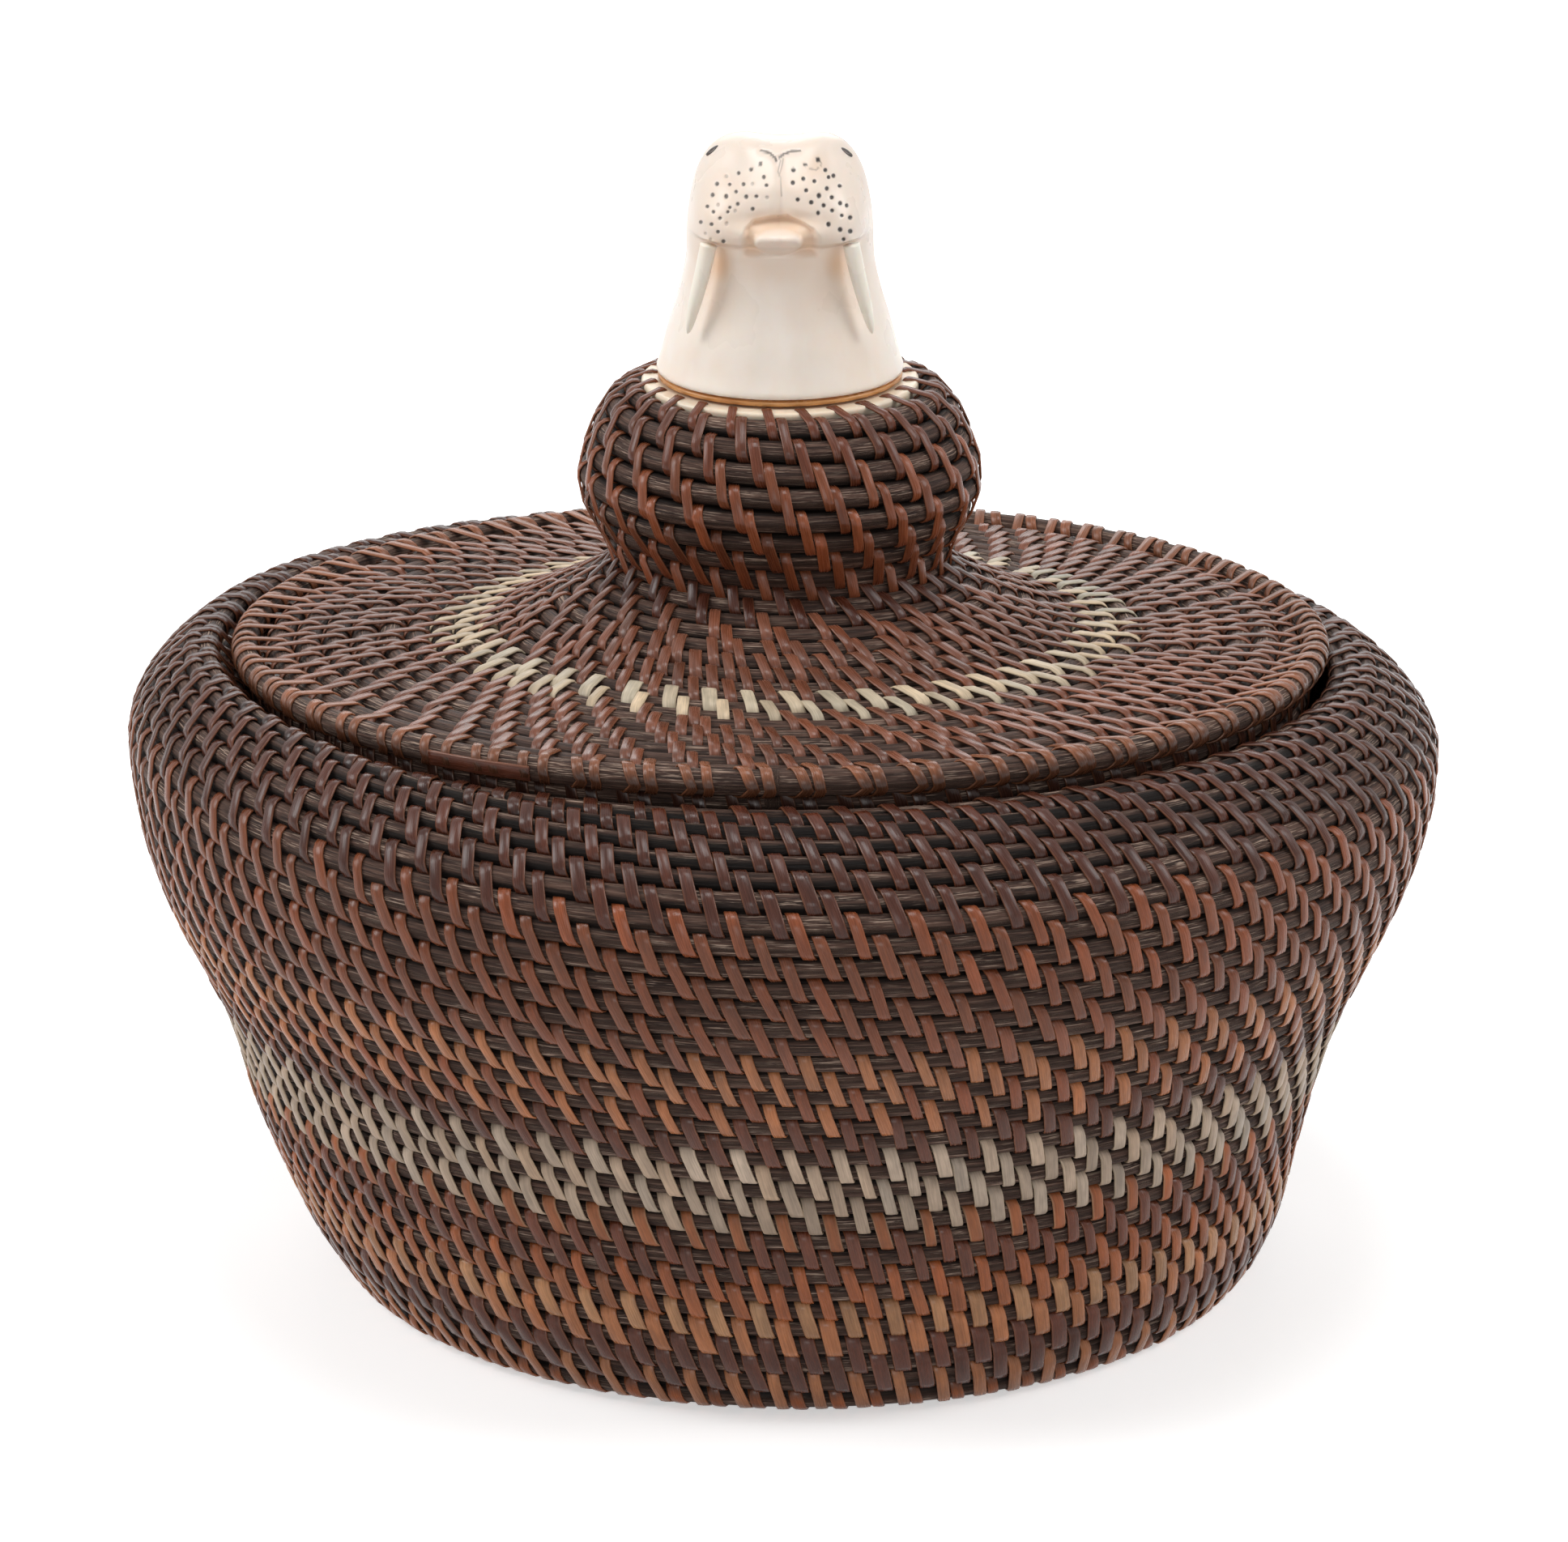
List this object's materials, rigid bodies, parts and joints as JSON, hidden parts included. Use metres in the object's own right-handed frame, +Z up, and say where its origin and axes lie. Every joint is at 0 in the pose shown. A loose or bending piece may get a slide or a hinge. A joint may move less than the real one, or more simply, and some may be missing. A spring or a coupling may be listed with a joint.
{
  "type": "lidded coiled basket",
  "caption": "Small round coiled basket with a lift-off lid, a hollow coiled knob and a carved ivory walrus-head finial.",
  "frame": {"origin": "on the table, under the middle of the belly", "axes": "+Z up, -Y towards the side the walrus head faces, +X to that viewer's right"},
  "size_m": [0.152, 0.152, 0.1332],
  "materials": {
    "dark_coil": "dark dyed strip over near-black rod, satin",
    "russet_coil": "red-brown strip over near-black rod, satin",
    "tan_coil": "tan strip over near-black rod, satin",
    "cream_coil": "cream strip over near-black rod, satin",
    "ivory": "polished ivory",
    "amber": "translucent amber",
    "eye": "dark inlay"
  },
  "bodies": {
    "basket": {"base_starter_disc": "ivory", "base_inner_coil": "russet_coil", "base_outer_coil": "dark_coil", "foot_coil": "tan_coil", "wide_dark_coil": "dark_coil", "wide_light_coil": "tan_coil", "lower_russet_coil": "russet_coil", "lower_dark_coil": "dark_coil", "cream_coil": "cream_coil", "waist_dark_coil": "dark_coil", "upper_tan_coil": "tan_coil", "belly_coil": "russet_coil", "shoulder_coil": "dark_coil", "mouth_coil": "russet_coil"},
    "lid": {"knob_upper_coil": "dark_coil", "knob_lower_coil": "russet_coil", "knob_neck_coil": "russet_coil", "lid_inner_coil": "russet_coil", "lid_cream_coil": "cream_coil", "lid_outer_coil": "russet_coil", "lid_rim_coil": "tan_coil", "lid_flange_coil": "russet_coil", "knob_starter_disc": "ivory", "finial_washer": "amber", "finial_peg": "ivory", "walrus_head": "ivory", "left_tusk": "ivory", "right_tusk": "ivory", "left_eye": "eye", "right_eye": "eye"}
  },
  "joints": [
    {"name": "lid_lift", "type": "slide", "parent": "basket", "child": "lid", "axis": [0, 0, 1], "range_m": [0, 0.04]}
  ]
}
